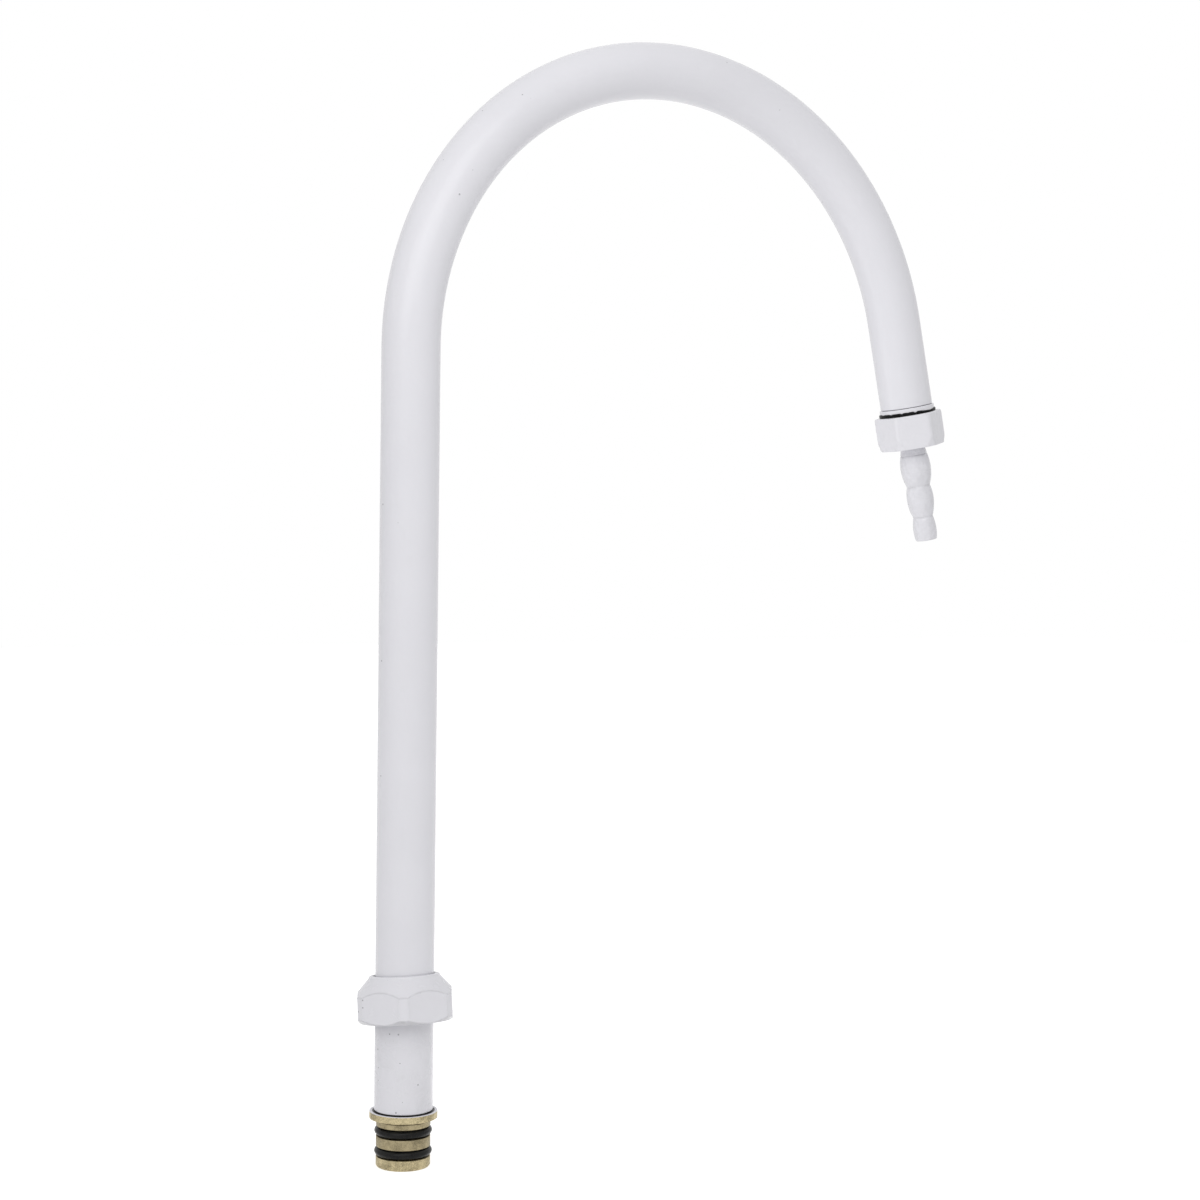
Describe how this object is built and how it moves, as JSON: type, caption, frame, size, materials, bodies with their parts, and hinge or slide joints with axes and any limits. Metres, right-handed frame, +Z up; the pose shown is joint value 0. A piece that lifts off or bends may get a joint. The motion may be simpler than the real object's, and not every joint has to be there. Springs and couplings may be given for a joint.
{
  "type": "laboratory tap spout",
  "caption": "Swan-neck laboratory tap spout: a bent coated tube on an O-ring swivel spigot, with a loose union nut and a screwed-on ribbed hose nozzle.",
  "frame": {"origin": "on the spigot's axis, at the underside of its flange, where the spout sits on the tap body", "axes": "+Z up along the riser, +X towards the outlet, so the bend lies in the XZ plane"},
  "size_m": [0.235, 0.0311, 0.3738],
  "materials": {
    "white_coat": "gloss white epoxy powder coat on brass",
    "turned_brass": "dull turned brass",
    "braze": "dark brazed seam",
    "black_rubber": "smooth nitrile rubber",
    "white_plastic": "natural acetal"
  },
  "bodies": {
    "spout": {"spout_tube": "white_coat", "swivel_spigot": "turned_brass", "spigot_braze_ring": "braze", "upper_o_ring": "black_rubber", "lower_o_ring": "black_rubber", "outlet_bush": "white_coat", "bush_braze_ring": "braze", "outlet_seal": "black_rubber"},
    "slip_ring": {"slip_ring": "white_plastic"},
    "union_nut": {"union_nut": "white_coat"},
    "nozzle": {"hose_nozzle": "white_coat", "nozzle_washer": "black_rubber"},
    "nozzle_collar": {"nozzle_collar": "white_coat"}
  },
  "joints": [
    {"name": "nut_slide", "type": "slide", "parent": "spout", "child": "slip_ring", "axis": [0, 0, 1], "range_m": [-0.0362, 0.2]},
    {"name": "nut_turn", "type": "hinge", "parent": "slip_ring", "child": "union_nut", "pos_m": [0, 0, 0.04301], "axis": [0, 0.1132, 0.9936], "continuous": true},
    {"name": "nozzle_slide", "type": "slide", "parent": "spout", "child": "nozzle", "axis": [0.2079, 0, -0.9781], "range_m": [0, 0.00534]},
    {"name": "collar_turn", "type": "hinge", "parent": "nozzle", "child": "nozzle_collar", "pos_m": [0.20434, 0, 0.23858], "axis": [0.2079, 0, -0.9781], "range_deg": [0, 1440]}
  ],
  "couplings": [
    {"joint": "collar_turn", "follows": "nozzle_slide", "rad_per_m": 4699.5}
  ]
}
